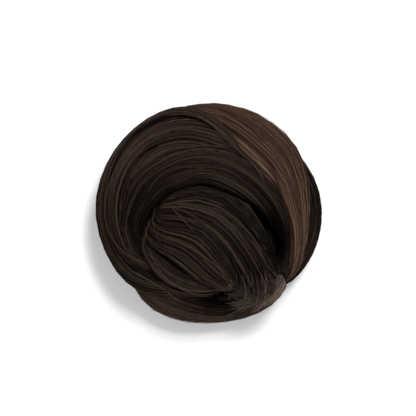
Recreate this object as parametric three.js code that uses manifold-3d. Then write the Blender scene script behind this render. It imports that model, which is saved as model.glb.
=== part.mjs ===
// Top knot hairpiece: locks of false hair coiled into a bun over a hollow base cap, with one comb inside the rim.
// Millimetres, +Z up. The bun stands on its rim, and its swirl faces up. +X is the swirl's right, +Y its upper side.
import * as THREE from "three";
import { mergeVertices } from "three/addons/utils/BufferGeometryUtils.js";
import Module from "manifold-3d";

// The bun's overall sizes
const BUN_WIDTH = 116;
const BUN_DEPTH = 106;
const BUN_HEIGHT = 60;

// What separates two pieces that press on each other
const SEAT_GAP = 0.35;

// The hollow cap that the locks are sewn to
const CAP_RADIUS = 34;
const CAP_HEIGHT = 34;
const CAP_WALL = 2;
const RIM_WIDTH = 5;
const RIM_HEIGHT = 4.5;

// The comb inside the cap's rim
const COMB_LENGTH = 40;
const COMB_TEETH = 9;
const TOOTH_LENGTH = 15;
const TOOTH_WIDTH = 1.7;
const TOOTH_TIP = 1;
const SPINE_HEIGHT = 3.4;
const SPINE_THICKNESS = 2.6;
const COMB_LIFT = 0.8;

// How round a lock's top is: how far its edges drop, as a share of the arc that it covers
const ROUNDNESS = 0.11;

// Each lock's top has shallow ribs along it: how many, and how deep they are
const RIBS = 2;
const RIB_DEPTH = 0.5;

// How finely things are faceted, and the smallest detail that a cut leaves
const RINGS_PER_ROW = 2;
const TOP_POINTS = 8;
const UNDER_POINTS = 2;
const CAP_SEGMENTS = 24;
const CAP_STEPS = 5;
const SPINE_STEPS = 12;
const FINEST_DETAIL = 0.2;

const HALF_WIDTH = BUN_WIDTH / 2;
const HALF_DEPTH = BUN_DEPTH / 2;
const MEAN_RADIUS = (HALF_WIDTH + HALF_DEPTH) / 2;

// Three domes that the locks lie on. east and north place a dome's middle, as shares of half the bun's width and
// depth. length and breadth are its half sizes, as shares of the bun's mean radius. spin turns it, in degrees.
// equator and top are heights, and foot how far it goes down below its equator, as shares of the bun's height. The
// poles of the base and the wraps point up and down, and the knot's lie level, where its strands start and end.
const TIERS = {
  knot: {
    lying: true,
    east: 0,
    north: -0.33,
    length: 0.71,
    breadth: 0.545,
    spin: -35,
    foot: 0.4,
    equator: 0.46,
    top: 0.98,
  },
  wrap: {
    lying: false,
    east: 0,
    north: 0,
    length: 1.015,
    breadth: 0.965,
    spin: 0,
    foot: 0.34,
    equator: 0.34,
    top: 0.9,
  },
  base: {
    lying: false,
    east: 0.02,
    north: -0.02,
    length: 0.98,
    breadth: 0.955,
    spin: 0,
    foot: 0.36,
    equator: 0.22,
    top: 0.66,
  },
};

// A lock's rows, from one end to the other. turn runs along it and tilt across it, both in degrees on its dome: on a
// standing dome turn is the angle from +X round the bun and tilt the angle down from the top, and on the lying dome
// turn is the angle from the pole at the upper left and tilt the angle off the top, to the upper right if positive.
// wide is the arc that the lock covers, in degrees. thick, lift (how far its crown stands out of the dome) and lean
// (how far its inner edge drops) are shares of the bun's height.
const COLUMNS = ["turn", "tilt", "wide", "thick", "lift", "lean"];

// The locks from the uppermost to the lowest: each is cut away where it meets one before it.
const LOCKS = [
  {
    name: "knot_fan",
    tier: "knot",
    colour: 0x33261f,
    rows: [
      [15, -10, 24, 0.08, -0.16, 0],
      [22, -22, 34, 0.14, -0.1, 0],
      [30, -29, 42, 0.2, -0.05, 0],
      [39, -32, 45, 0.26, -0.02, 0],
      [49, -29, 46, 0.3, -0.005, 0],
      [59, -23, 47, 0.34, 0, 0],
      [70, -16, 48, 0.36, 0.01, 0],
      [81, -13, 51, 0.38, 0.015, 0],
      [92, -15, 50, 0.38, 0.01, 0],
      [103, -19, 44, 0.36, 0, 0],
      [113, -22, 36, 0.33, -0.015, 0],
      [122, -25, 28, 0.28, -0.04, 0],
      [130, -28, 20, 0.2, -0.08, 0],
      [138, -31, 9, 0.1, -0.15, 0],
    ],
  },
  {
    name: "knot_outer",
    tier: "knot",
    colour: 0x35281f,
    rows: [
      [14, 28, 24, 0.08, -0.15, 0],
      [21, 24, 34, 0.14, -0.09, 0],
      [28, 24, 38, 0.2, -0.05, 0],
      [36, 26, 42, 0.25, -0.02, 0],
      [45, 33, 47, 0.28, 0, 0],
      [55, 44, 48, 0.34, 0.01, 0],
      [70, 52, 44, 0.36, 0.02, 0],
      [88, 51, 38, 0.36, 0.015, 0],
      [105, 46, 29, 0.36, 0.005, 0],
      [121, 41, 23, 0.34, -0.005, 0],
      [135, 38, 20, 0.32, -0.005, 0],
      [148, 39, 23, 0.27, -0.005, 0],
      [159, 45, 34, 0.2, -0.02, 0],
      [168, 54, 44, 0.12, -0.06, 0],
      [174, 62, 38, 0.08, -0.12, 0],
    ],
  },
  {
    name: "knot_inner",
    tier: "knot",
    colour: 0x3a2b22,
    rows: [
      [14, 8, 20, 0.08, -0.16, 0],
      [21, 0, 26, 0.14, -0.1, 0],
      [29, -2, 28, 0.2, -0.05, 0],
      [38, 1, 31, 0.25, -0.02, 0],
      [47, 7, 33, 0.3, -0.005, 0],
      [57, 14, 31, 0.33, 0, 0],
      [68, 19, 29, 0.35, 0, 0],
      [82, 22, 27, 0.36, 0, 0],
      [97, 20, 29, 0.36, 0, 0],
      [112, 15, 36, 0.36, -0.005, 0],
      [126, 9, 46, 0.36, -0.01, 0],
      [138, 2, 56, 0.34, -0.01, 0],
      [149, -5, 64, 0.3, -0.025, 0],
      [158, -11, 70, 0.22, -0.06, 0],
      [166, -16, 60, 0.14, -0.11, 0],
      [172, -20, 40, 0.08, -0.16, 0],
    ],
  },
  {
    name: "knot_low",
    tier: "knot",
    colour: 0x2e221c,
    rows: [
      [13, -26, 22, 0.08, -0.16, 0],
      [20, -48, 26, 0.14, -0.1, 0],
      [28, -60, 30, 0.2, -0.05, 0],
      [37, -67, 34, 0.24, -0.02, 0],
      [46, -71, 40, 0.28, -0.005, 0],
      [55, -74, 48, 0.32, 0, 0],
      [63, -75, 56, 0.34, 0.005, 0],
      [71, -74, 60, 0.36, 0.01, 0],
      [80, -71, 56, 0.38, 0.01, 0],
      [90, -66, 48, 0.36, 0, 0],
      [101, -58, 37, 0.3, -0.015, 0],
      [111, -49, 25, 0.22, -0.04, 0],
      [119, -43, 15, 0.14, -0.09, 0],
      [126, -40, 7, 0.08, -0.15, 0],
    ],
  },
  {
    name: "bright_wrap",
    tier: "wrap",
    colour: 0x4a3226,
    rows: [
      [126, 97, 12, 0.06, -0.04, 0],
      [107, 86, 38, 0.16, 0, 0],
      [92, 75, 47, 0.24, 0.015, 0],
      [76, 65, 51, 0.28, 0.025, 0],
      [58, 57, 46, 0.3, 0.035, 0],
      [38, 53.5, 39, 0.3, 0.035, 0],
      [17, 50.5, 26, 0.28, 0.03, 0.01],
      [-2, 51, 17, 0.24, 0.02, 0.02],
      [-20, 57, 12, 0.2, 0.01, 0.01],
      [-34, 67, 10, 0.15, 0, 0],
      [-44, 79, 6, 0.08, -0.04, 0],
    ],
  },
  {
    name: "left_wrap",
    tier: "wrap",
    colour: 0x3a2820,
    rows: [
      [271, 54, 6, 0.06, -0.26, 0],
      [260, 58, 12, 0.12, -0.17, 0],
      [249, 62, 17, 0.16, -0.1, 0],
      [239, 66, 22, 0.2, -0.05, 0],
      [229, 72, 29, 0.25, -0.015, 0],
      [217, 79, 34, 0.28, 0, 0],
      [197, 83, 34, 0.3, 0.005, 0],
      [177, 84, 36, 0.3, 0.015, 0],
      [159, 86, 34, 0.28, 0.015, 0],
      [143, 87, 29, 0.26, 0.02, 0],
      [128, 86, 25, 0.24, 0.025, 0],
      [114, 79, 19, 0.2, 0.03, 0],
      [101, 67, 14, 0.16, 0.035, 0],
      [89, 53, 10, 0.13, 0.03, 0],
      [75, 42.5, 7, 0.1, 0.02, 0],
      [60, 36, 4, 0.06, -0.01, 0],
    ],
  },
  {
    name: "inner_wrap",
    tier: "wrap",
    colour: 0x2c201b,
    rows: [
      [243, 58, 4, 0.08, -0.3, 0],
      [227, 56, 10, 0.18, -0.2, 0.03],
      [210, 52, 15, 0.28, -0.08, 0.07],
      [193, 47, 20, 0.34, 0, 0.1],
      [175, 40.5, 25, 0.38, 0.01, 0.1],
      [156, 36, 29, 0.4, 0.015, 0.08],
      [137, 31, 29, 0.4, 0.015, 0.07],
      [110, 27.5, 25, 0.4, 0.01, 0.06],
      [77, 25.5, 26, 0.4, 0.01, 0.06],
      [42, 26.5, 26, 0.4, 0, 0.06],
      [11, 32.5, 26, 0.4, -0.01, 0.12],
      [-14, 42.5, 25, 0.4, -0.02, 0.29],
      [-31, 53, 21, 0.32, -0.04, 0.26],
      [-43, 63, 15, 0.2, -0.08, 0.08],
      [-51, 74, 8, 0.08, -0.14, 0],
    ],
  },
  {
    name: "middle_wrap",
    tier: "wrap",
    colour: 0x30231d,
    rows: [
      [247, 57, 6, 0.1, -0.26, 0],
      [232, 60, 14, 0.18, -0.14, 0],
      [214, 60, 22, 0.28, -0.03, 0],
      [196, 60, 27, 0.34, -0.005, 0],
      [178, 60, 30, 0.36, 0, 0],
      [160, 60, 33, 0.36, 0, 0],
      [143, 60, 36, 0.36, 0, 0],
      [127, 57, 40, 0.38, 0.005, 0],
      [110, 52, 40, 0.38, 0.005, 0],
      [92, 45, 34, 0.36, 0, 0],
      [71, 40, 28, 0.32, -0.02, 0],
      [48, 37, 18, 0.24, -0.05, 0],
      [26, 36, 7, 0.14, -0.1, 0],
    ],
  },
  {
    name: "tail_curl",
    tier: "base",
    colour: 0x3a2b22,
    rows: [
      [-76, 51, 4, 0.06, -0.04, 0],
      [-70, 53.5, 12, 0.12, 0.06, 0],
      [-62, 54.5, 18, 0.18, 0.11, 0],
      [-54, 56, 18, 0.18, 0.11, 0],
      [-46, 58.5, 13, 0.12, 0.06, 0],
      [-40, 62, 5, 0.06, -0.04, 0],
    ],
  },
  {
    name: "right_wrap",
    tier: "base",
    colour: 0x2a1f1a,
    rows: [
      [-54, 92, 24, 0.1, -0.13, 0],
      [-44, 90, 76, 0.3, -0.045, 0],
      [-29, 88, 104, 0.4, -0.01, 0],
      [-8, 87, 114, 0.44, 0.005, 0],
      [14, 87, 114, 0.44, 0.005, 0],
      [36, 87, 114, 0.44, -0.02, 0],
      [58, 88, 112, 0.44, -0.025, 0],
      [78, 89, 104, 0.4, -0.02, 0],
      [94, 90, 74, 0.3, -0.04, 0],
      [105, 91, 26, 0.12, -0.1, 0],
    ],
  },
  {
    name: "front_wrap",
    tier: "base",
    colour: 0x2e231d,
    rows: [
      [212, 90, 24, 0.1, -0.12, 0],
      [223, 87, 86, 0.32, -0.01, 0],
      [237, 87, 104, 0.42, 0.04, 0],
      [254, 89, 108, 0.46, 0.035, 0],
      [272, 93, 102, 0.46, 0.015, 0.1],
      [290, 92, 100, 0.46, 0.015, 0.2],
      [304, 90, 90, 0.4, 0.005, 0.1],
      [315, 90, 52, 0.18, -0.04, 0],
      [321, 91, 20, 0.1, -0.12, 0],
    ],
  },
  {
    name: "back_wrap",
    tier: "base",
    colour: 0x281d19,
    rows: [
      [78, 93, 24, 0.1, -0.14, 0],
      [90, 92, 76, 0.3, -0.06, 0],
      [106, 91, 102, 0.4, -0.03, 0],
      [126, 90, 108, 0.42, -0.02, 0],
      [148, 90, 108, 0.42, -0.02, 0],
      [170, 90, 108, 0.42, -0.02, 0],
      [192, 90, 106, 0.42, -0.02, 0],
      [210, 90, 100, 0.4, -0.03, 0],
      [224, 91, 72, 0.3, -0.06, 0],
      [236, 92, 24, 0.12, -0.14, 0],
    ],
  },
];

const manifold = await Module();
manifold.setup();

const radians = THREE.MathUtils.degToRad;

// A geometry with shared corners as a solid that can be joined and cut
function solidFrom(geometry) {
  const shared = new THREE.BufferGeometry().setAttribute("position", geometry.getAttribute("position"));
  shared.setIndex(geometry.index);
  const merged = mergeVertices(shared, 1e-4);
  const mesh = new manifold.Mesh({
    numProp: 3,
    vertProperties: Float32Array.from(merged.getAttribute("position").array),
    triVerts: Uint32Array.from(merged.index.array),
  });
  return new manifold.Manifold(mesh);
}

function geometryFrom(solid) {
  const mesh = solid.getMesh();
  const positions = new Float32Array(mesh.numVert * 3);
  for (let i = 0; i < mesh.numVert; i++) {
    positions.set(mesh.vertProperties.subarray(i * mesh.numProp, i * mesh.numProp + 3), i * 3);
  }
  const geometry = new THREE.BufferGeometry();
  geometry.setAttribute("position", new THREE.BufferAttribute(positions, 3));
  geometry.setIndex(new THREE.BufferAttribute(mesh.triVerts, 1));
  geometry.computeVertexNormals();
  return geometry;
}

// A lock that is cut through by another keeps its largest body
function largestBody(solid) {
  const bodies = solid.decompose().sort((a, b) => b.volume() - a.volume());
  return bodies[0];
}

// The unit direction of a place on a dome, before the dome's own sizes
function direction(tier, turn, tilt) {
  const along = radians(turn);
  const across = radians(tilt);
  if (tier.lying) {
    return new THREE.Vector3(
      -Math.cos(along),
      Math.sin(along) * Math.sin(across),
      Math.sin(along) * Math.cos(across),
    );
  }
  return new THREE.Vector3(
    Math.sin(across) * Math.cos(along),
    Math.sin(across) * Math.sin(along),
    Math.cos(across),
  );
}

// A dome is half an ellipsoid above its equator and another, of its own depth, below it
function domePoint(tier, turn, tilt) {
  const unit = direction(tier, turn, tilt);
  const rise = unit.z > 0 ? (tier.top - tier.equator) * BUN_HEIGHT : tier.foot * BUN_HEIGHT;
  const point = new THREE.Vector3(
    unit.x * tier.length * MEAN_RADIUS,
    unit.y * tier.breadth * MEAN_RADIUS,
    unit.z * rise,
  );
  point.applyAxisAngle(new THREE.Vector3(0, 0, 1), radians(tier.spin));
  return point.add(new THREE.Vector3(tier.east * HALF_WIDTH, tier.north * HALF_DEPTH, tier.equator * BUN_HEIGHT));
}

function domeNormal(tier, turn, tilt) {
  const step = 0.5;
  const along = domePoint(tier, turn + step, tilt).sub(domePoint(tier, turn - step, tilt));
  const across = domePoint(tier, turn, tilt + step).sub(domePoint(tier, turn, tilt - step));
  const normal = tier.lying ? along.cross(across) : across.cross(along);
  return normal.normalize();
}

// The closed ring of points round a lock at one place along it: its top from the inner edge to the outer, then its
// underside back
function lockRing(tier, row) {
  const [turn, tilt, wide, thick, lift, lean] = row;
  const edge = (side) => domePoint(tier, turn, tilt + (side * wide) / 2);
  const arc = edge(-1).distanceTo(edge(0)) + edge(0).distanceTo(edge(1));
  const drop = ROUNDNESS * arc;
  const ribDepth = Math.min(RIB_DEPTH, drop / 4);
  const top = [];
  for (let i = 0; i < TOP_POINTS; i++) {
    const side = -Math.cos((Math.PI * i) / (TOP_POINTS - 1));
    const at = tilt + (side * wide) / 2;
    const round = Math.sqrt(1 - side * side);
    const rib = ribDepth * round * Math.cos(Math.PI * RIBS * side);
    const height = lift * BUN_HEIGHT - drop * (1 - round) + rib;
    const point = domePoint(tier, turn, at).addScaledVector(domeNormal(tier, turn, at), height);
    point.z -= lean * BUN_HEIGHT * ((1 - side) / 2) ** 2;
    top.push(point);
  }
  const inner = top[0];
  const outer = top[TOP_POINTS - 1];
  const inward = domeNormal(tier, turn, tilt).multiplyScalar(-thick * BUN_HEIGHT);
  const under = [];
  for (let i = 1; i <= UNDER_POINTS; i++) {
    const share = i / (UNDER_POINTS + 1);
    const side = 1 - 2 * share;
    const full = (1 - Math.abs(side) ** 3) ** (1 / 3);
    under.push(new THREE.Vector3().lerpVectors(outer, inner, share).addScaledVector(inward, full));
  }
  return [...top, ...under];
}

// The rows of a lock's table, and the places between them
function lockRings(lock) {
  const places = Float32Array.from(lock.rows.map((_, i) => i));
  const smooth = new THREE.CubicInterpolant(places, Float32Array.from(lock.rows.flat()), COLUMNS.length);
  const count = (lock.rows.length - 1) * RINGS_PER_ROW;
  const rings = [];
  for (let i = 0; i <= count; i++) {
    rings.push(lockRing(TIERS[lock.tier], Array.from(smooth.evaluate(i / RINGS_PER_ROW))));
  }
  return rings;
}

// A skin over a run of rings, closed at both ends
function loft(rings) {
  const size = rings[0].length;
  const corners = rings.flat();
  const faces = [];
  for (let r = 0; r + 1 < rings.length; r++) {
    for (let i = 0; i < size; i++) {
      const j = (i + 1) % size;
      const a = r * size;
      const b = a + size;
      faces.push(a + i, b + i, a + j, a + j, b + i, b + j);
    }
  }
  const closeEnd = (ring, start, outward) => {
    const middle = ring.reduce((sum, p) => sum.add(p), new THREE.Vector3()).divideScalar(size);
    corners.push(middle);
    const tip = corners.length - 1;
    for (let i = 0; i < size; i++) {
      const j = (i + 1) % size;
      faces.push(tip, start + (outward ? i : j), start + (outward ? j : i));
    }
  };
  closeEnd(rings[0], 0, true);
  closeEnd(rings[rings.length - 1], (rings.length - 1) * size, false);
  if (signedVolume(corners, faces) < 0) {
    faces.reverse();
  }
  const geometry = new THREE.BufferGeometry().setFromPoints(corners);
  geometry.setIndex(faces);
  return geometry;
}

// Positive where the faces turn outwards
function signedVolume(corners, faces) {
  const cross = new THREE.Vector3();
  let volume = 0;
  for (let i = 0; i < faces.length; i += 3) {
    cross.crossVectors(corners[faces[i + 1]], corners[faces[i + 2]]);
    volume += corners[faces[i]].dot(cross) / 6;
  }
  return volume;
}

// The same skin moved outwards by a distance, which keeps a neighbour clear of it
function grown(geometry, distance) {
  const wider = geometry.clone();
  wider.computeVertexNormals();
  const positions = wider.getAttribute("position");
  const normals = wider.getAttribute("normal");
  for (let i = 0; i < positions.count; i++) {
    positions.setXYZ(
      i,
      positions.getX(i) + normals.getX(i) * distance,
      positions.getY(i) + normals.getY(i) * distance,
      positions.getZ(i) + normals.getZ(i) * distance,
    );
  }
  return wider;
}

// The cap's dome from its foot to its top, as radius and height
function capCurve(radius, height) {
  const points = [];
  for (let i = 0; i <= CAP_STEPS; i++) {
    const angle = (Math.PI / 2) * (i / CAP_STEPS);
    points.push(new THREE.Vector2(radius * Math.cos(angle) ** 0.8, height * Math.sin(angle) ** 0.9));
  }
  return points;
}

function turned(profile) {
  return solidFrom(new THREE.LatheGeometry(profile, CAP_SEGMENTS).rotateX(Math.PI / 2));
}

function baseCap() {
  const outside = capCurve(CAP_RADIUS, CAP_HEIGHT);
  const inside = capCurve(CAP_RADIUS - CAP_WALL, CAP_HEIGHT - CAP_WALL).reverse();
  const rimRadius = CAP_RADIUS - RIM_WIDTH;
  const clear = inside.filter((p) => p.y > RIM_HEIGHT);
  const profile = [
    new THREE.Vector2(rimRadius, 0),
    ...outside,
    ...clear,
    new THREE.Vector2(CAP_RADIUS - CAP_WALL, RIM_HEIGHT),
    new THREE.Vector2(rimRadius, RIM_HEIGHT),
    new THREE.Vector2(rimRadius, 0),
  ];
  return turned(profile);
}

// The cap's outside with its hollow filled and a foot below the ground, which no lock may enter
function capKeepOut() {
  const outside = capCurve(CAP_RADIUS + SEAT_GAP, CAP_HEIGHT + SEAT_GAP);
  const foot = new THREE.Vector2(CAP_RADIUS + SEAT_GAP, -RIM_HEIGHT);
  return turned([new THREE.Vector2(0, -RIM_HEIGHT), foot, ...outside]);
}

// A tooth that points to -Y from the comb's spine, thinner at its tip
function combTooth(x, startY, endY, z) {
  const tooth = new THREE.CylinderGeometry(TOOTH_WIDTH / 2, TOOTH_TIP / 2, startY - endY, 8);
  tooth.translate(x, (startY + endY) / 2, z);
  return solidFrom(tooth);
}

// A plain comb whose spine follows the inside of the cap's rim at the back, with its teeth level in the hollow
function sideComb() {
  const outer = CAP_RADIUS - RIM_WIDTH - SEAT_GAP;
  const inner = outer - SPINE_THICKNESS;
  const reach = COMB_LENGTH / 2 / outer;
  const startAngle = Math.PI / 2 - reach;
  const plan = new THREE.Shape();
  plan.absarc(0, 0, outer, startAngle, startAngle + 2 * reach, false);
  plan.absarc(0, 0, inner, startAngle + 2 * reach, startAngle, true);
  const spineShape = new THREE.ExtrudeGeometry(plan, {
    depth: SPINE_HEIGHT,
    bevelEnabled: false,
    curveSegments: SPINE_STEPS,
  });
  const spine = solidFrom(spineShape.translate(0, 0, COMB_LIFT));
  const middle = (outer + inner) / 2;
  const span = 2 * middle * Math.sin(reach) - 2 * TOOTH_WIDTH;
  const tips = middle * Math.cos(reach) - TOOTH_LENGTH;
  const pieces = [spine];
  for (let i = 0; i < COMB_TEETH; i++) {
    const x = (i / (COMB_TEETH - 1) - 0.5) * span;
    const root = Math.sqrt(middle ** 2 - x ** 2);
    pieces.push(combTooth(x, root, tips, COMB_LIFT + SPINE_HEIGHT / 2));
  }
  return manifold.Manifold.union(pieces);
}

function material(colour, roughness) {
  return new THREE.MeshStandardMaterial({ color: colour, roughness, metalness: 0 });
}

const parts = [];

const keepOut = capKeepOut();
const upper = [];
for (const lock of LOCKS) {
  const skin = loft(lockRings(lock));
  const taken = manifold.Manifold.union([keepOut, ...upper]);
  const cut = solidFrom(skin).subtract(taken).trimByPlane([0, 0, 1], 0);
  const solid = largestBody(cut.simplify(FINEST_DETAIL));
  parts.push({ name: lock.name, solid, look: material(lock.colour, 0.5) });
  upper.push(solidFrom(grown(skin, SEAT_GAP)));
}
parts.push({ name: "base_cap", solid: baseCap(), look: material(0x1f1a18, 0.9) });
parts.push({ name: "side_comb", solid: sideComb(), look: material(0x2a1c14, 0.35) });

const hairpiece = new THREE.Group();
hairpiece.name = "top_knot_hairpiece";
for (const part of parts) {
  const mesh = new THREE.Mesh(geometryFrom(part.solid), part.look);
  mesh.name = part.name;
  hairpiece.add(mesh);
}

// The frame's origin is under the middle of the whole, on the ground
const bounds = new THREE.Box3().setFromObject(hairpiece);
const centre = bounds.getCenter(new THREE.Vector3());
for (const mesh of hairpiece.children) {
  mesh.position.set(-centre.x, -centre.y, -bounds.min.z);
}

export default hairpiece;
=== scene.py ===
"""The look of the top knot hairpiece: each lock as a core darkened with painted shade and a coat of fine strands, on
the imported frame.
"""
import math

import bpy
import numpy as np
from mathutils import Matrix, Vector


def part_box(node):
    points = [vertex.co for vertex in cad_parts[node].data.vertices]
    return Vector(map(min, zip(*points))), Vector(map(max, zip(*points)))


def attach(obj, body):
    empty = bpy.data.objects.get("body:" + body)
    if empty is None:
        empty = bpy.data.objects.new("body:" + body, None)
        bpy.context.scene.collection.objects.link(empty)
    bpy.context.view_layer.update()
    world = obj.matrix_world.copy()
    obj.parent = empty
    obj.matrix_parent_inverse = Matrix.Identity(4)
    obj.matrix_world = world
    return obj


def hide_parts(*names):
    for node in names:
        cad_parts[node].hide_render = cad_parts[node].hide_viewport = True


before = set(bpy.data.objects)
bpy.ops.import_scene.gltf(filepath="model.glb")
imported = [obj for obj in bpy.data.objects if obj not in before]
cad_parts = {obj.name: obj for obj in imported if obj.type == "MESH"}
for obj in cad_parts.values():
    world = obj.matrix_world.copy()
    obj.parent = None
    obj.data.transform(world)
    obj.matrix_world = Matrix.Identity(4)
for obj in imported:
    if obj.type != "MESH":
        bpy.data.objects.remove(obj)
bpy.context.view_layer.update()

MM = 0.001
rng = np.random.default_rng(7)

# The bun's overall sizes, in millimetres
BUN_WIDTH = 116.0
BUN_DEPTH = 106.0
BUN_HEIGHT = 60.0
HALF_WIDTH = BUN_WIDTH / 2
HALF_DEPTH = BUN_DEPTH / 2
MEAN_RADIUS = (HALF_WIDTH + HALF_DEPTH) / 2

# How far a lock's edges drop, as a share of the arc that it covers
ROUNDNESS = 0.11

# The three domes that the locks lie on: east and north are shares of half the bun's width and depth, length and
# breadth of its mean radius, spin is in degrees, and foot, equator and top are shares of its height.
TIERS = {
    "knot": dict(lying=True, east=0, north=-0.33, length=0.71, breadth=0.545, spin=-35, foot=0.4, equator=0.46,
                 top=0.98),
    "wrap": dict(lying=False, east=0, north=0, length=1.015, breadth=0.965, spin=0, foot=0.34, equator=0.34,
                 top=0.9),
    "base": dict(lying=False, east=0.02, north=-0.02, length=0.98, breadth=0.955, spin=0, foot=0.36, equator=0.22,
                 top=0.66),
}

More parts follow.
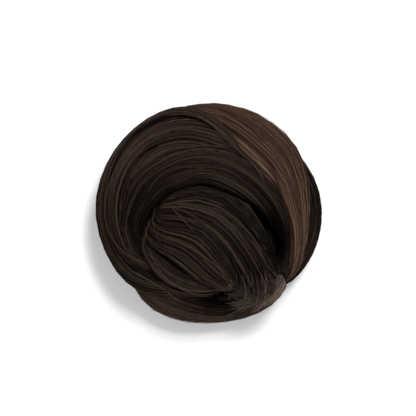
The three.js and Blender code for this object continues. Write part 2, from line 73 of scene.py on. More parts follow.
# A lock's rows from one end to the other: turn along its dome and tilt across it, the arc that it covers (degrees),
# then its thickness, how far its crown stands out of the dome, and how far its inner edge drops (shares of height).
LOCKS = {
    "knot_fan": ("knot", [
        (15, -10, 24, 0.08, -0.16, 0),
        (22, -22, 34, 0.14, -0.1, 0),
        (30, -29, 42, 0.2, -0.05, 0),
        (39, -32, 45, 0.26, -0.02, 0),
        (49, -29, 46, 0.3, -0.005, 0),
        (59, -23, 47, 0.34, 0, 0),
        (70, -16, 48, 0.36, 0.01, 0),
        (81, -13, 51, 0.38, 0.015, 0),
        (92, -15, 50, 0.38, 0.01, 0),
        (103, -19, 44, 0.36, 0, 0),
        (113, -22, 36, 0.33, -0.015, 0),
        (122, -25, 28, 0.28, -0.04, 0),
        (130, -28, 20, 0.2, -0.08, 0),
        (138, -31, 9, 0.1, -0.15, 0),
    ]),
    "knot_outer": ("knot", [
        (14, 28, 24, 0.08, -0.15, 0),
        (21, 24, 34, 0.14, -0.09, 0),
        (28, 24, 38, 0.2, -0.05, 0),
        (36, 26, 42, 0.25, -0.02, 0),
        (45, 33, 47, 0.28, 0, 0),
        (55, 44, 48, 0.34, 0.01, 0),
        (70, 52, 44, 0.36, 0.02, 0),
        (88, 51, 38, 0.36, 0.015, 0),
        (105, 46, 29, 0.36, 0.005, 0),
        (121, 41, 23, 0.34, -0.005, 0),
        (135, 38, 20, 0.32, -0.005, 0),
        (148, 39, 23, 0.27, -0.005, 0),
        (159, 45, 34, 0.2, -0.02, 0),
        (168, 54, 44, 0.12, -0.06, 0),
        (174, 62, 38, 0.08, -0.12, 0),
    ]),
    "knot_inner": ("knot", [
        (14, 8, 20, 0.08, -0.16, 0),
        (21, 0, 26, 0.14, -0.1, 0),
        (29, -2, 28, 0.2, -0.05, 0),
        (38, 1, 31, 0.25, -0.02, 0),
        (47, 7, 33, 0.3, -0.005, 0),
        (57, 14, 31, 0.33, 0, 0),
        (68, 19, 29, 0.35, 0, 0),
        (82, 22, 27, 0.36, 0, 0),
        (97, 20, 29, 0.36, 0, 0),
        (112, 15, 36, 0.36, -0.005, 0),
        (126, 9, 46, 0.36, -0.01, 0),
        (138, 2, 56, 0.34, -0.01, 0),
        (149, -5, 64, 0.3, -0.025, 0),
        (158, -11, 70, 0.22, -0.06, 0),
        (166, -16, 60, 0.14, -0.11, 0),
        (172, -20, 40, 0.08, -0.16, 0),
    ]),
    "knot_low": ("knot", [
        (13, -26, 22, 0.08, -0.16, 0),
        (20, -48, 26, 0.14, -0.1, 0),
        (28, -60, 30, 0.2, -0.05, 0),
        (37, -67, 34, 0.24, -0.02, 0),
        (46, -71, 40, 0.28, -0.005, 0),
        (55, -74, 48, 0.32, 0, 0),
        (63, -75, 56, 0.34, 0.005, 0),
        (71, -74, 60, 0.36, 0.01, 0),
        (80, -71, 56, 0.38, 0.01, 0),
        (90, -66, 48, 0.36, 0, 0),
        (101, -58, 37, 0.3, -0.015, 0),
        (111, -49, 25, 0.22, -0.04, 0),
        (119, -43, 15, 0.14, -0.09, 0),
        (126, -40, 7, 0.08, -0.15, 0),
    ]),
    "bright_wrap": ("wrap", [
        (126, 97, 12, 0.06, -0.04, 0),
        (107, 86, 38, 0.16, 0, 0),
        (92, 75, 47, 0.24, 0.015, 0),
        (76, 65, 51, 0.28, 0.025, 0),
        (58, 57, 46, 0.3, 0.035, 0),
        (38, 53.5, 39, 0.3, 0.035, 0),
        (17, 50.5, 26, 0.28, 0.03, 0.01),
        (-2, 51, 17, 0.24, 0.02, 0.02),
        (-20, 57, 12, 0.2, 0.01, 0.01),
        (-34, 67, 10, 0.15, 0, 0),
        (-44, 79, 6, 0.08, -0.04, 0),
    ]),
    "left_wrap": ("wrap", [
        (271, 54, 6, 0.06, -0.26, 0),
        (260, 58, 12, 0.12, -0.17, 0),
        (249, 62, 17, 0.16, -0.1, 0),
        (239, 66, 22, 0.2, -0.05, 0),
        (229, 72, 29, 0.25, -0.015, 0),
        (217, 79, 34, 0.28, 0, 0),
        (197, 83, 34, 0.3, 0.005, 0),
        (177, 84, 36, 0.3, 0.015, 0),
        (159, 86, 34, 0.28, 0.015, 0),
        (143, 87, 29, 0.26, 0.02, 0),
        (128, 86, 25, 0.24, 0.025, 0),
        (114, 79, 19, 0.2, 0.03, 0),
        (101, 67, 14, 0.16, 0.035, 0),
        (89, 53, 10, 0.13, 0.03, 0),
        (75, 42.5, 7, 0.1, 0.02, 0),
        (60, 36, 4, 0.06, -0.01, 0),
    ]),
    "inner_wrap": ("wrap", [
        (243, 58, 4, 0.08, -0.3, 0),
        (227, 56, 10, 0.18, -0.2, 0.03),
        (210, 52, 15, 0.28, -0.08, 0.07),
        (193, 47, 20, 0.34, 0, 0.1),
        (175, 40.5, 25, 0.38, 0.01, 0.1),
        (156, 36, 29, 0.4, 0.015, 0.08),
        (137, 31, 29, 0.4, 0.015, 0.07),
        (110, 27.5, 25, 0.4, 0.01, 0.06),
        (77, 25.5, 26, 0.4, 0.01, 0.06),
        (42, 26.5, 26, 0.4, 0, 0.06),
        (11, 32.5, 26, 0.4, -0.01, 0.12),
        (-14, 42.5, 25, 0.4, -0.02, 0.29),
        (-31, 53, 21, 0.32, -0.04, 0.26),
        (-43, 63, 15, 0.2, -0.08, 0.08),
        (-51, 74, 8, 0.08, -0.14, 0),
    ]),
    "middle_wrap": ("wrap", [
        (247, 57, 6, 0.1, -0.26, 0),
        (232, 60, 14, 0.18, -0.14, 0),
        (214, 60, 22, 0.28, -0.03, 0),
        (196, 60, 27, 0.34, -0.005, 0),
        (178, 60, 30, 0.36, 0, 0),
        (160, 60, 33, 0.36, 0, 0),
        (143, 60, 36, 0.36, 0, 0),
        (127, 57, 40, 0.38, 0.005, 0),
        (110, 52, 40, 0.38, 0.005, 0),
        (92, 45, 34, 0.36, 0, 0),
        (71, 40, 28, 0.32, -0.02, 0),
        (48, 37, 18, 0.24, -0.05, 0),
        (26, 36, 7, 0.14, -0.1, 0),
    ]),
    "tail_curl": ("base", [
        (-76, 51, 4, 0.06, -0.04, 0),
        (-70, 53.5, 12, 0.12, 0.06, 0),
        (-62, 54.5, 18, 0.18, 0.11, 0),
        (-54, 56, 18, 0.18, 0.11, 0),
        (-46, 58.5, 13, 0.12, 0.06, 0),
        (-40, 62, 5, 0.06, -0.04, 0),
    ]),
    "right_wrap": ("base", [
        (-54, 92, 24, 0.1, -0.13, 0),
        (-44, 90, 76, 0.3, -0.045, 0),
        (-29, 88, 104, 0.4, -0.01, 0),
        (-8, 87, 114, 0.44, 0.005, 0),
        (14, 87, 114, 0.44, 0.005, 0),
        (36, 87, 114, 0.44, -0.02, 0),
        (58, 88, 112, 0.44, -0.025, 0),
        (78, 89, 104, 0.4, -0.02, 0),
        (94, 90, 74, 0.3, -0.04, 0),
        (105, 91, 26, 0.12, -0.1, 0),
    ]),
    "front_wrap": ("base", [
        (212, 90, 24, 0.1, -0.12, 0),
        (223, 87, 86, 0.32, -0.01, 0),
        (237, 87, 104, 0.42, 0.04, 0),
        (254, 89, 108, 0.46, 0.035, 0),
        (272, 93, 102, 0.46, 0.015, 0.1),
        (290, 92, 100, 0.46, 0.015, 0.2),
        (304, 90, 90, 0.4, 0.005, 0.1),
        (315, 90, 52, 0.18, -0.04, 0),
        (321, 91, 20, 0.1, -0.12, 0),
    ]),
    "back_wrap": ("base", [
        (78, 93, 24, 0.1, -0.14, 0),
        (90, 92, 76, 0.3, -0.06, 0),
        (106, 91, 102, 0.4, -0.03, 0),
        (126, 90, 108, 0.42, -0.02, 0),
        (148, 90, 108, 0.42, -0.02, 0),
        (170, 90, 108, 0.42, -0.02, 0),
        (192, 90, 106, 0.42, -0.02, 0),
        (210, 90, 100, 0.4, -0.03, 0),
        (224, 91, 72, 0.3, -0.06, 0),
        (236, 92, 24, 0.12, -0.14, 0),
    ]),
}

# The frame's origin is under the middle of the whole, so the tables' middle is found from the cap's box
cap_low, cap_high = (np.array(corner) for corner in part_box("base_cap"))
TABLE_MIDDLE = (cap_low + cap_high) / 2 / MM
TABLE_MIDDLE[2] = 0


def rows_at(rows, t):
    """The table's columns at places t from 0 to 1 along a lock, on a smooth curve through its rows."""
    table = np.array(rows, float)
    padded = np.vstack([2 * table[0] - table[1], table, 2 * table[-1] - table[-2]])
    place = np.clip(t, 0, 1) * (len(table) - 1)
    first = np.minimum(place.astype(int), len(table) - 2)
    u = (place - first)[..., None]
    p0, p1, p2, p3 = (padded[first + k] for k in range(4))
    rise = (p2 - p0) / 2
    fall = (p3 - p1) / 2
    return (
        p1 * (2 * u**3 - 3 * u**2 + 1)
        + rise * (u**3 - 2 * u**2 + u)
        + p2 * (3 * u**2 - 2 * u**3)
        + fall * (u**3 - u**2)
    )


def dome_point(tier, turn, tilt):
    """Points on a dome, in millimetres."""
    along = np.radians(turn)
    across = np.radians(tilt)
    if tier["lying"]:
        unit = [-np.cos(along), np.sin(along) * np.sin(across), np.sin(along) * np.cos(across)]
    else:
        unit = [np.sin(across) * np.cos(along), np.sin(across) * np.sin(along), np.cos(across)]
    rise = np.where(unit[2] > 0, tier["top"] - tier["equator"], tier["foot"]) * BUN_HEIGHT
    x = unit[0] * tier["length"] * MEAN_RADIUS
    y = unit[1] * tier["breadth"] * MEAN_RADIUS
    spin = math.radians(tier["spin"])
    return np.stack(
        [
            x * math.cos(spin) - y * math.sin(spin) + tier["east"] * HALF_WIDTH,
            x * math.sin(spin) + y * math.cos(spin) + tier["north"] * HALF_DEPTH,
            unit[2] * rise + tier["equator"] * BUN_HEIGHT,
        ],
        -1,
    )


def unit_vectors(v):
    return v / np.maximum(np.linalg.norm(v, axis=-1, keepdims=True), 1e-9)


def dome_normal(tier, turn, tilt):
    step = 0.5
    along = dome_point(tier, turn + step, tilt) - dome_point(tier, turn - step, tilt)
    across = dome_point(tier, turn, tilt + step) - dome_point(tier, turn, tilt - step)
    normal = np.cross(along, across) if tier["lying"] else np.cross(across, along)
    return unit_vectors(normal)


def lock_top(tier, rows, t, side):
    """Points and normals on a lock's top, at t along it and side from -1 (its inner edge) to 1 (its outer edge)."""
    turn, tilt, wide, thick, lift, lean = np.moveaxis(rows_at(rows, t), -1, 0)
    left, middle, right = (dome_point(tier, turn, tilt + k * wide / 2) for k in (-1, 0, 1))
    arc = np.linalg.norm(middle - left, axis=-1) + np.linalg.norm(right - middle, axis=-1)
    drop = ROUNDNESS * arc
    at = tilt + side * wide / 2
    height = lift * BUN_HEIGHT - drop * (1 - np.sqrt(np.clip(1 - side**2, 0, 1)))
    normal = dome_normal(tier, turn, at)
    point = dome_point(tier, turn, at) + normal * height[..., None]
    point[..., 2] -= lean * BUN_HEIGHT * ((1 - side) / 2) ** 2
    return point, normal, arc


def smooth_noise(x, y, cells, seed):
    """Noise from -1 to 1 that changes smoothly over whole steps of x and y."""
    lattice = np.random.default_rng(seed).uniform(-1, 1, (cells, cells))
    xi = np.floor(x).astype(int)
    yi = np.floor(y).astype(int)
    u = x - xi
    v = y - yi
    u = u * u * (3 - 2 * u)
    v = v * v * (3 - 2 * v)

    def corner(i, j):
        return lattice[(xi + i) % cells, (yi + j) % cells]

    low = corner(0, 0) * (1 - u) + corner(1, 0) * u
    high = corner(0, 1) * (1 - u) + corner(1, 1) * u
    return low * (1 - v) + high * v


def lock_length(tier, rows):
    """About how long a lock is along its middle, in millimetres."""
    t = np.linspace(0, 1, 60)
    middle, _, _ = lock_top(tier, rows, t, np.zeros_like(t))
    return np.linalg.norm(np.diff(middle, axis=0), axis=1).sum()


def relief(across, along, seed):
    """The height of the tresses that a lock is made of, in millimetres. across and along are in millimetres too."""
    wander = 0.5 * smooth_noise(along / 70, across / 12, 64, seed + 1)
    broad = smooth_noise((across + wander) / 2.6, along / 90, 64, seed + 2)
    narrow = smooth_noise((across + wander) / 0.85, along / 75, 128, seed + 3)
    fine = smooth_noise((across + wander) / 0.42, along / 60, 256, seed + 4)
    return 0.12 * broad + 0.2 * narrow + 0.18 * fine


def streaks(across, along, seed):
    """How light each tress is, from about -1 to 1."""
    wander = 0.5 * smooth_noise(along / 70, across / 12, 64, seed + 1)
    broad = smooth_noise((across + wander) / 4, along / 80, 64, seed + 5)
    narrow = smooth_noise((across + wander) / 0.9, along / 60, 128, seed + 6)
    fine = smooth_noise((across + wander) / 0.4, along / 45, 256, seed + 7)
    return 0.2 * broad + 0.35 * narrow + 0.8 * fine


CORE_ALONG = 70
CORE_ACROSS = 73
CORE_DEPTH = 0.45


def core_mesh(tier, rows, seed):
    """The body under a lock's strands, dark with painted shade: vertices, faces, and a tone for each vertex."""
    t = np.linspace(0, 1, CORE_ALONG)[:, None] * np.ones((1, CORE_ACROSS))
    side = -np.cos(np.linspace(0, math.pi, CORE_ACROSS))[None, :] * np.ones((CORE_ALONG, 1))
    top, normal, arc = lock_top(tier, rows, t, side)
    length = lock_length(tier, rows)
    across = side * arc / 2
    inside = np.sqrt(np.clip(1 - side**2, 0, 1))
    bump = relief(across, t * length, seed) - CORE_DEPTH
    top = top + normal * (bump * np.minimum(1, 3 * inside))[..., None]
    columns = rows_at(rows, t[:, 0])
    inward = -dome_normal(tier, columns[:, 0], columns[:, 1]) * (columns[:, 3] * BUN_HEIGHT)[:, None]
    under = []
    for share in (0.12, 0.3, 0.5, 0.7, 0.88):
        full = (1 - abs(1 - 2 * share) ** 3) ** (1 / 3)
        chord = top[:, -1] * (1 - share) + top[:, 0] * share
        under.append(chord + inward * full)
    ring = np.concatenate([top, np.stack(under, 1)], 1)
    size = ring.shape[1]
    # Painted shade: the core's underside and top get dark tones, with random streaks on top, standing in for the shade
    # deep between and under the strands
    tone = np.full((CORE_ALONG, size), 0.12)
    tone[:, :CORE_ACROSS] = 0.2 + 0.12 * streaks(across, t * length, seed)
    ring[..., 2] = np.maximum(ring[..., 2], 0.05)
    vertices = ring.reshape(-1, 3)
    faces = []
    for r in range(CORE_ALONG - 1):
        for i in range(size):
            j = (i + 1) % size
            faces.append((r * size + i, r * size + j, (r + 1) * size + j, (r + 1) * size + i))
    faces.append(tuple(reversed(range(size))))
    faces.append(tuple(range((CORE_ALONG - 1) * size, CORE_ALONG * size)))
    return vertices, faces, tone.reshape(-1)


STRANDS_PER_MM = 11
STRAND_RADIUS = 0.12
MOST_STRANDS = 760
WISP_STRANDS = 3

# Painted shade: strands are darker towards a lock's edges, where creases fall in shade, and where its inner edge drops
# into a hollow
CREASE_SHADE = 0.3
LEAN_SHADE = 2.2

# The curled ends of the tail
TIP_COUNT = 170
TIP_STEPS = 22
TIP_TURNS = 1.3
TIP_SWING = 1.9

# Tufts of frizzy ends: how many hairs, how far they stray at their roots and at their tips, how far the tips
# swing as they curl, and the places that they pass (millimetres from the middle, on the floor)
TUFT_STEPS = 26
TUFT_TURNS = 1.6
TUFTS = [
    (38, 2.2, 2.0, 1.5, [(16.4, -27.1, 54.6), (17.9, -34.9, 50.5), (18.5, -40.5, 43), (17.5, -44.5, 34),
                         (13.5, -46, 28), (10.5, -45, 24)]),
    (38, 2.2, 2.0, 1.5, [(19.9, -27.1, 53.3), (22.4, -34.9, 49.2), (22.5, -41.5, 41.5), (20.5, -46, 33),
                         (15.5, -47.5, 26), (11.5, -47, 22)]),
    (28, 1.8, 1.8, 1.3, [(12.9, -25.2, 56), (14.9, -33, 52.3), (15.3, -38.4, 45), (13.5, -41.5, 36),
                         (10.5, -42, 28), (7.5, -42, 23)]),
    (30, 1.8, 1.8, 1.3, [(22, -28, 52), (25.5, -35, 46), (26.5, -41, 38), (24.5, -45.5, 32.5), (20, -47.5, 29.5)]),
    (24, 1.6, 1.6, 1.2, [(27, -30, 48), (29.5, -37, 40), (29.5, -42, 33), (26, -46, 30), (21, -48, 27)]),
    (40, 1.8, 1.3, 0.9, [(6.9, -31, 55.8), (9, -34.5, 53), (9.5, -37, 50), (7.5, -38.2, 48.3),
                         (5, -37.8, 48.5)]),
    (40, 2.2, 0.7, 0.4, [(24.5, -26, 49.5), (27, -31.5, 44.5), (29.5, -36.5, 37), (31, -40, 32),
                         (31.5, -42, 28), (31, -43, 23)]),
    (18, 1.4, 1.0, 0.7, [(2.5, -32.5, 54.5), (5, -35.5, 51.8), (6, -37.5, 49), (4.5, -39, 46.5), (2, -39.5, 45)]),
]

# Long single hairs: the dome that each crosses, and its places there as turn, tilt and rise in millimetres
STRAY_STEPS = 26
STRAY_BUNDLE = 3
STRAYS = [
    ("knot", [(14, 22, -8.5), (22, 10, -5), (30, 0, -2), (38, -11, 0.3), (48, -23, 1.4), (62, -32, 1.2)]),
    ("knot", [(36, -22, -1.2), (47, -47, 1.2), (53, -69, 1.2)]),
    ("knot", [(112, 27, 1.2), (119, 25, 1.4), (141, 20, 1.4), (165, 30, 1.2)]),
    ("knot", [(139, 14, 1.2), (150, 13, 1.4), (165, 14, 1.2)]),
    ("knot", [(51, 9, 1.2), (61, 5, 1.5), (75, 1, 1.2)]),
    ("knot", [(38, 6, 1.2), (63, 12, 1.4), (88, 11, 1.4), (112, 3, 1.2)]),
    ("knot", [(60, -20, 1.4), (81, -13, 1.8), (103, -13, 1.6), (119, -21, 1.2)]),
    ("knot", [(55, -50, 1.2), (76, -55, 1.4), (95, -53, 1.4), (112, -45, 1.2)]),
    ("knot", [(66, 26, 1.2), (87, 31, 1.6), (112, 29, 1.6), (134, 22, 1.2)]),
    ("wrap", [(-136, 46, 1), (-157, 59, 1.4), (-180, 64, 1.4), (-205, 65, 1)]),
    ("wrap", [(152, 52, 1.4), (123, 52, 1.6), (96, 47, 1.6), (69, 37, 1.4)]),
    ("wrap", [(167, 35, 1.4), (141, 30, 1.8), (101, 23, 1.8), (39, 22, 1.4)]),
    ("wrap", [(117, 74, 2.6), (95, 53, 2.8), (71, 36, 2.8), (20, 31, 2)]),
    ("wrap", [(89, 69, 2.8), (57, 51, 3.2), (15, 46, 3), (-20, 57, 2)]),
    ("wrap", [(72, 67, 2.8), (38, 55, 3.2), (0, 55, 2.8), (-34, 62, 1.6)]),
    ("wrap", [(-139, 59, 0.6), (-122, 55, 0.8), (-108, 60, 0.6)]),
]


def strand_paths(tier, rows, seed, look):
    """The strands that coat a lock: points, outward directions, radii and tones, one row per strand."""
    random = np.random.default_rng(seed)
    probe = np.linspace(0.15, 0.85, 20)
    _, _, arcs = lock_top(tier, rows, probe, np.zeros_like(probe))
    arc_width = arcs.max()
    length = lock_length(tier, rows)
    count = int(np.clip(arc_width * STRANDS_PER_MM * look.get("density", 1), 120, MOST_STRANDS))
    steps = int(np.clip(length / 6.5, 16, 30))
    place = (np.arange(count) + random.uniform(0.1, 0.9, count)) / count
    home = 0.55 * (2 * place - 1) + 0.45 * np.sin((place - 0.5) * math.pi)
    home = np.clip(home, -0.992, 0.992)
    start = np.where(random.random(count) < 0.15, random.uniform(0, 0.45, count), 0)
    end = np.where(random.random(count) < 0.15, random.uniform(0.55, 1, count), 1)
    share = np.linspace(0, 1, steps)[None, :]
    t = start[:, None] + (end - start)[:, None] * share
    drift = look.get("drift", 0.02)
    wave = drift * smooth_noise(t * 2.6 + random.uniform(0, 60, count)[:, None], np.arange(count)[:, None] * 1.0 + 0 * t,
                                128, seed + 11)
    wisp = np.arange(count) // WISP_STRANDS
    slant = random.normal(0, drift, count)[wisp][:, None] * (t - 0.5)
    side = np.clip(home[:, None] + wave + slant, -0.996, 0.996)
    top, normal, arc = lock_top(tier, rows, t, side)
    across = side * arc / 2
    along = t * length
    height = relief(across, along, seed) + random.uniform(-0.15, 0.05, count)[:, None]
    height = height + random.uniform(-0.15, 0.12, count)[wisp][:, None]
    loose = random.random(count) < 0.06
    height = height + np.where(loose, random.uniform(0.15, 0.6, count), 0)[:, None] * np.sin(math.pi * share)
    flare = np.clip((t - 0.84) / 0.16, 0, 1) ** 2 * random.uniform(0, look.get("flare", 0), count)[:, None]
    height = height + flare
    inside = np.sqrt(np.clip(1 - side**2, 0, 1))
    points = top + normal * (height * np.minimum(1, 2.5 * inside + 0.2))[..., None]
    points[..., 2] = np.maximum(points[..., 2], STRAND_RADIUS)
    ends = np.minimum(1, np.minimum(share, 1 - share) * 9 + 0.15)
    radius = STRAND_RADIUS * random.uniform(0.75, 1.25, count)[:, None] * ends
    # Painted light and shade: raised tresses are lighter and the grooves between them darker, on top of random streaks
    # and per-strand tone
    tone = 0.44 + 0.3 * streaks(across, along, seed) + 0.5 * relief(across, along, seed)
    tone = tone + random.normal(0, 0.13, count)[:, None] + random.normal(0, 0.15, count)[wisp][:, None]
    bright = loose | (random.random(count) < look.get("bright_share", 0.06))
    tone = tone + np.where(bright, random.uniform(0.15, 0.45, count), 0)[:, None]
    lean = rows_at(rows, t)[..., 5]
    turn = rows_at(rows, t)[..., 0]
    # Painted shade: each spot darkens the strands near it
    for spot_turn, spot_side, turn_reach, side_reach, change in look.get("shade_spots", ()):
        away = ((turn - spot_turn) / turn_reach) ** 2 + ((side - spot_side) / side_reach) ** 2
        tone = tone + change * np.exp(-away)
    # Painted shade: darker towards the lock's edges and down its dropped inner edge, then the lock's own tone offset
    tone = tone + look.get("tone", 0) - CREASE_SHADE * abs(side) ** 5 - LEAN_SHADE * lean * (1 - side) / 2
    return points, normal, radius, np.clip(tone, 0, 1)


def curled_tips(tier, rows, seed):
    """The short frizzy ends that curl back along a lock from its last row: the same four arrays as strand_paths."""
    random = np.random.default_rng(seed)
    share = np.linspace(0, 1, TIP_STEPS)[None, :]
    start = random.uniform(0.55, 1, TIP_COUNT)[:, None]
    end = random.uniform(0, 0.35, TIP_COUNT)[:, None]
    t = start + (end - start) * share
    side = np.clip(random.uniform(-0.9, 0.9, TIP_COUNT)[:, None] + random.normal(0, 0.35, TIP_COUNT)[:, None] * share,
                   -1, 1)
    top, normal, _ = lock_top(tier, rows, t, side)
    across = np.cross(normal, unit_vectors(np.gradient(top, axis=1)))
    angle = random.uniform(0, 2 * math.pi, TIP_COUNT)[:, None]
    angle = angle + random.uniform(-1, 1, TIP_COUNT)[:, None] * TIP_TURNS * 2 * math.pi * share**1.5
    swing = random.uniform(0.3, 1, TIP_COUNT)[:, None] * TIP_SWING * share**1.3
    rise = 0.3 + random.uniform(0, 0.9, TIP_COUNT)[:, None] * np.sin(math.pi * share**0.8)
    points = top + normal * (rise + swing * np.cos(angle))[..., None] + across * (swing * np.sin(angle))[..., None]
    radius = 0.11 * np.minimum(1, np.minimum(share, 1 - share) * 6 + 0.2) * np.ones_like(t)
    tone = random.uniform(0.35, 0.95, TIP_COUNT)[:, None] * np.ones_like(t)
    return points, normal, radius, tone


def stray_paths(random):
    """Single long hairs that cross the locks, each with two or three that run beside it."""
    points = []
    normals = []
    for dome, places in STRAYS:
        for _ in range(STRAY_BUNDLE):
            table = np.array(places, float)
            table[:, :2] += random.normal(0, 0.7, (len(table), 2))
            share = np.linspace(0, 1, STRAY_STEPS)
            turn, tilt, rise = np.moveaxis(rows_at(table, share), -1, 0)
            height = np.where(rise > 0, rise * np.sin(math.pi * share) ** 0.5, rise) + random.uniform(-0.2, 0.3)
            normal = dome_normal(TIERS[dome], turn, tilt)
            points.append(dome_point(TIERS[dome], turn, tilt) + normal * height[:, None])
            normals.append(normal)
    points = np.array(points)
    share = np.linspace(0, 1, STRAY_STEPS)[None, :]
    radius = random.uniform(0.08, 0.13, len(points))[:, None] * np.minimum(1, np.minimum(share, 1 - share) * 9 + 0.15)
    tone = random.uniform(0.55, 1, len(points))[:, None] * np.ones_like(radius)
    return points, np.array(normals), radius, tone


def tuft_paths(random):
    """The tufts of frizzy ends: the same four arrays as strand_paths."""
    share = np.linspace(0, 1, TUFT_STEPS)
    points = []
    for count, root_stray, tip_stray, swing, places in TUFTS:
        for _ in range(count):
            root = random.normal(0, root_stray, 3) * (1, 0.5, 0.15)
            tip = random.normal(0, tip_stray, 3)
            start = random.uniform(0.08, 0.4)
            end = random.uniform(0.75, 1)
            path = rows_at(places, start + (end - start) * share)
            path = path + root * (1 - share)[:, None] + tip * share[:, None] ** 2
            angle = random.uniform(0, 2 * math.pi) + random.uniform(-1, 1) * TUFT_TURNS * 2 * math.pi * share
            reach = swing * random.uniform(0.3, 1) * share**1.4
            path[:, 0] += reach * np.cos(angle)
            path[:, 1] += reach * np.sin(angle) * 0.7
            path[:, 2] += reach * np.sin(angle) * 0.7
            points.append(path)
    points = np.array(points)
    outward = np.zeros_like(points) + (0, -0.6, 0.8)
    radius = random.uniform(0.09, 0.14, (len(points), 1)) * np.minimum(1, np.minimum(share, 1 - share) * 9 + 0.15)
    tone = random.uniform(0.2, 0.95, (len(points), 1)) + 0.4 * (share - 0.5)
    return points, outward, radius, np.clip(tone, 0, 1)


def tubes(points, outward, radius, tone):
    """Closed three-sided tubes along paths: vertices, faces, and a tone for each vertex."""
    count, steps, _ = points.shape
    tangent = unit_vectors(np.gradient(points, axis=1))
    side = unit_vectors(np.cross(tangent, outward))
    up = np.cross(side, tangent)
    ring = []
    for angle in (90, 210, 330):
        a = math.radians(angle)
        ring.append(points + (side * math.cos(a) + up * math.sin(a)) * radius[..., None])
    vertices = np.stack(ring, 2).reshape(-1, 3)
    tones = np.repeat(tone[..., None], 3, 2).reshape(-1)
    first = (np.arange(count)[:, None] * steps + np.arange(steps - 1)[None, :]) * 3
    quads = []
    for k in range(3):
        n = (k + 1) % 3
        quads.append(np.stack([first + k, first + n, first + 3 + n, first + 3 + k], -1).reshape(-1, 4))
    start = np.arange(count) * steps * 3
    end = start + (steps - 1) * 3
    caps = np.concatenate([np.stack([start + 2, start + 1, start], -1), np.stack([end, end + 1, end + 2], -1)])
    return vertices, np.concatenate(quads), caps, tones


# The room that the hollow cap takes, and that hair keeps out of: half its width and its height, in millimetres
CAP_RADIUS = (cap_high[0] - cap_low[0]) / 2 / MM + 0.2
CAP_HEIGHT = (cap_high[2] - cap_low[2]) / MM + 0.2

# How full the cap's dome is, across and up: 2 and 2 would be a round one
CAP_FULL_ACROSS = 2.5
CAP_FULL_UP = 2.22


def outside_cap(points):
    """Points inside the cap's dome move out to lie on it: level near its rim, and away from its middle above."""
    height = np.clip(points[:, 2] / CAP_HEIGHT, 0, 1)
    across = np.hypot(points[:, 0], points[:, 1]) / CAP_RADIUS
    inside = across**CAP_FULL_ACROSS + height**CAP_FULL_UP < 1
    wanted = np.clip(1 - height**CAP_FULL_UP, 0, 1) ** (1 / CAP_FULL_ACROSS)
    level = np.where(inside, wanted / np.maximum(across, 0.02), 1)
    moved = points.copy()
    moved[:, :2] *= level[:, None]
    return moved


def toned_object(name, points, faces, tones, material):
    """A mesh in the frame's metres, from points in the tables' millimetres, with a tone for each point."""
    mesh = bpy.data.meshes.new(name)
    mesh.from_pydata(((outside_cap(points) + TABLE_MIDDLE) * MM).tolist(), [], faces)
    mesh.validate()
    mesh.shade_smooth()
    layer = mesh.attributes.new("tone", "FLOAT", "POINT")
    layer.data.foreach_set("value", tones.astype(np.float32))
    mesh.materials.append(material)
    made = bpy.data.objects.new(name, mesh)
    bpy.context.collection.objects.link(made)
    return made


def joined(bodies):
    """Several bodies, each as points, faces and tones, as one."""
    points = []
    faces = []
    tones = []
    shift = 0
    for body_points, body_faces, body_tones in bodies:
        points.append(body_points)
        faces.extend(tuple(corner + shift for corner in face) for face in body_faces)
        tones.append(body_tones)
        shift += len(body_points)
    return np.concatenate(points), faces, np.concatenate(tones)


def strand_body(paths):
    points, quads, caps, tones = tubes(*paths)
    return points, quads.tolist() + caps.tolist(), tones


def hair_object(name, tier, rows, seed, look, material):
    """One lock's look as one mesh: its core, its strands and, if it has them, its curled tips."""
    bodies = [core_mesh(tier, rows, seed), strand_body(strand_paths(tier, rows, seed, look))]
    if look.get("curled"):
        bodies.append(strand_body(curled_tips(tier, rows, seed + 1)))
    return toned_object(name, *joined(bodies), material)


def node_of(tree, kind, **values):
    made = tree.nodes.new(kind)
    for key, value in values.items():
        made.inputs[key].default_value = value
    return made


def plain_material(name):
    material = bpy.data.materials.new(name)
    material.use_nodes = True
    tree = material.node_tree
    return material, tree, tree.nodes["Principled BSDF"]


def hair_material(name, dark, middle, light):
    """False hair: each strand's tone picks its brown, and its gloss is soft."""
    material, tree, shader = plain_material(name)
    tone = tree.nodes.new("ShaderNodeAttribute")
    tone.attribute_name = "tone"
    ramp = tree.nodes.new("ShaderNodeValToRGB")
    stops = ramp.color_ramp.elements
    stops[0].position = 0.1
    stops[0].color = (*dark, 1)
    stops[1].position = 0.95
    stops[1].color = (*light, 1)
    half = stops.new(0.5)
    half.color = (*middle, 1)
    tree.links.new(tone.outputs["Fac"], ramp.inputs["Fac"])
    tree.links.new(ramp.outputs["Color"], shader.inputs["Base Color"])
    shader.inputs["Roughness"].default_value = 0.45
    shader.inputs["IOR"].default_value = 1.35
    shader.inputs["Specular IOR Level"].default_value = 0.05
    return material


HAIR = {
    "dark_hair": hair_material("dark_hair", (0.0024, 0.0016, 0.0013), (0.0185, 0.0122, 0.0092), (0.072, 0.047, 0.034)),
    "knot_hair": hair_material("knot_hair", (0.002, 0.0014, 0.0011), (0.0155, 0.0104, 0.008), (0.074, 0.049, 0.037)),
    "ridge_hair": hair_material("ridge_hair", (0.0028, 0.0018, 0.0014), (0.0185, 0.012, 0.009), (0.075, 0.048, 0.036)),
    "end_hair": hair_material("end_hair", (0.0055, 0.0038, 0.003), (0.046, 0.032, 0.0252), (0.23, 0.163, 0.128)),
    "bright_hair": hair_material("bright_hair", (0.008, 0.0046, 0.0031), (0.052, 0.03, 0.0195), (0.15, 0.089, 0.058)),
}

# A spot of painted shade darkens a lock where it falls in shade: a turn and a side, how far it reaches along both, and
# the change in tone at its middle
WHOLE = 99.0
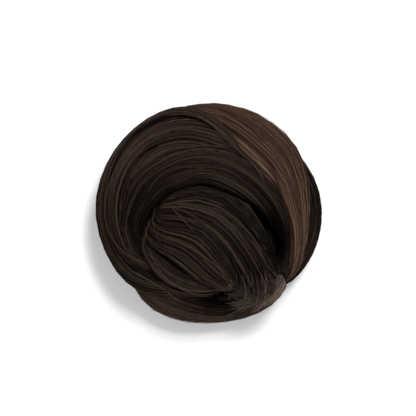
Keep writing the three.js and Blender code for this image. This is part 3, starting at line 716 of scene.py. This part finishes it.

# What sets each lock's look apart: its slot, how light, how loose and how dense its strands are, and its spots of
# painted shade
LOOKS = {
    "knot_fan": dict(slot="knot_hair", drift=0.03, flare=1.6),
    "knot_outer": dict(slot="knot_hair", drift=0.03, shade_spots=[(132, 1, 22, 0.75, -0.55)]),
    "knot_inner": dict(slot="knot_hair", drift=0.03, shade_spots=[(140, 0, 25, WHOLE, -0.12), (176, 0, 12, WHOLE, -0.3)]),
    "knot_low": dict(slot="knot_hair", drift=0.03, shade_spots=[(112, -1, 16, 0.8, -0.8)]),
    "bright_wrap": dict(slot="bright_hair", drift=0.035, bright_share=0.12),
    "left_wrap": dict(slot="ridge_hair", drift=0.03, bright_share=0.08, tone=-0.06),
    "inner_wrap": dict(slot="dark_hair", drift=0.03, tone=0.08, shade_spots=[(190, 0, 45, WHOLE, -0.3), (-22, 0, 12, WHOLE, -0.3)]),
    "middle_wrap": dict(slot="dark_hair", drift=0.03, tone=0.03, shade_spots=[(195, 0, 40, WHOLE, -0.25)]),
    "tail_curl": dict(slot="knot_hair", finish="end_hair", drift=0.12, density=1.6, tone=0.05, curled=True,
                      shade_spots=[(-56, 0.7, 3, 0.3, -0.5)]),
    # Painted shade: the right wrap's tone is lowered, and lowered further at its middle, since it lies low and in
    # shade
    "right_wrap": dict(slot="dark_hair", drift=0.03, tone=-0.12, shade_spots=[(8, 0, 34, 0.6, -0.17)]),
    # Painted light: the front wrap faces down and away from the key light, so its tone is raised; its spot is painted
    # shade in the pit at its inner edge
    "front_wrap": dict(slot="dark_hair", drift=0.03, tone=0.36, shade_spots=[(272, -0.85, 12, 0.3, -0.8)]),
    "back_wrap": dict(slot="dark_hair", drift=0.03, density=0.6),
}

for number, (name, (tier_name, rows)) in enumerate(LOCKS.items()):
    look = LOOKS[name]
    seed = 100 + 20 * number
    piece = hair_object("hair_" + name, TIERS[tier_name], rows, seed, look, HAIR[look.get("finish", look["slot"])])
    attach(piece, "root")
    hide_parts(name)

strays = toned_object("stray_hairs", *strand_body(stray_paths(np.random.default_rng(9))), HAIR["ridge_hair"])
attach(strays, "root")

ends = toned_object("frizzy_ends", *strand_body(tuft_paths(np.random.default_rng(11))), HAIR["end_hair"])
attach(ends, "root")

# The cap's cloth and the comb's plastic
cloth, cloth_tree, cloth_shader = plain_material("cap_cloth")
weave = node_of(cloth_tree, "ShaderNodeTexNoise", Scale=900.0, Detail=2.0)
cloth_ramp = cloth_tree.nodes.new("ShaderNodeValToRGB")
cloth_ramp.color_ramp.elements[0].color = (0.003, 0.0022, 0.0018, 1)
cloth_ramp.color_ramp.elements[1].color = (0.014, 0.0105, 0.009, 1)
cloth_tree.links.new(weave.outputs["Fac"], cloth_ramp.inputs["Fac"])
cloth_tree.links.new(cloth_ramp.outputs["Color"], cloth_shader.inputs["Base Color"])
cloth_shader.inputs["Roughness"].default_value = 0.9
cloth_shader.inputs["Specular IOR Level"].default_value = 0.05
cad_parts["base_cap"].data.materials.clear()
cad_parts["base_cap"].data.materials.append(cloth)

plastic, plastic_tree, plastic_shader = plain_material("comb_plastic")
plastic_shader.inputs["Base Color"].default_value = (0.03, 0.018, 0.012, 1)
plastic_shader.inputs["Roughness"].default_value = 0.3
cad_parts["side_comb"].data.materials.clear()
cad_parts["side_comb"].data.materials.append(plastic)

# The stage: a pale floor under soft studio light
floor_mesh = bpy.data.meshes.new("floor")
REACH = 3.0
floor_mesh.from_pydata([(-REACH, -REACH, 0), (REACH, -REACH, 0), (REACH, REACH, 0), (-REACH, REACH, 0)], [],
                       [(0, 1, 2, 3)])
floor = bpy.data.objects.new("floor", floor_mesh)
bpy.context.collection.objects.link(floor)
pale, pale_tree, pale_shader = plain_material("floor_pale")
pale_shader.inputs["Base Color"].default_value = (0.92, 0.92, 0.92, 1)
pale_shader.inputs["Roughness"].default_value = 0.9
pale_shader.inputs["Specular IOR Level"].default_value = 0.1
floor_mesh.materials.append(pale)

world = bpy.data.worlds.new("studio")
bpy.context.scene.world = world
world.use_nodes = True
world.node_tree.nodes["Background"].inputs["Color"].default_value = (1, 1, 1, 1)
world.node_tree.nodes["Background"].inputs["Strength"].default_value = 0.4


def soft_light(name, place, size, power):
    """A square area light that faces the bun."""
    lamp = bpy.data.lights.new(name, "AREA")
    lamp.size = size
    lamp.energy = power
    made = bpy.data.objects.new(name, lamp)
    made.location = place
    made.rotation_euler = (-Vector(place)).to_track_quat("-Z", "Y").to_euler()
    bpy.context.collection.objects.link(made)
    return made


soft_light("key", (0.25, 0.45, 1.0), 0.35, 12.0)
soft_light("fill", (-0.35, -0.8, 0.85), 0.5, 6.0)

bpy.context.scene.view_settings.view_transform = "Standard"

# The camera looks almost straight down, as the photo does
CAMERA_ELEVATION = 87
CAMERA_DISTANCE = 1.2
FRAME_WIDTH = 0.208
AIM = Vector((0.0, 0.0022, 0.02))
lens = bpy.data.cameras.new("camera")
lens.sensor_width = 36
lens.lens = 36 * CAMERA_DISTANCE / FRAME_WIDTH
camera = bpy.data.objects.new("camera", lens)
elevation = math.radians(CAMERA_ELEVATION)
camera.location = AIM + CAMERA_DISTANCE * Vector((0, -math.cos(elevation), math.sin(elevation)))
camera.rotation_euler = (math.pi / 2 - elevation, 0, 0)
bpy.context.collection.objects.link(camera)
bpy.context.scene.camera = camera
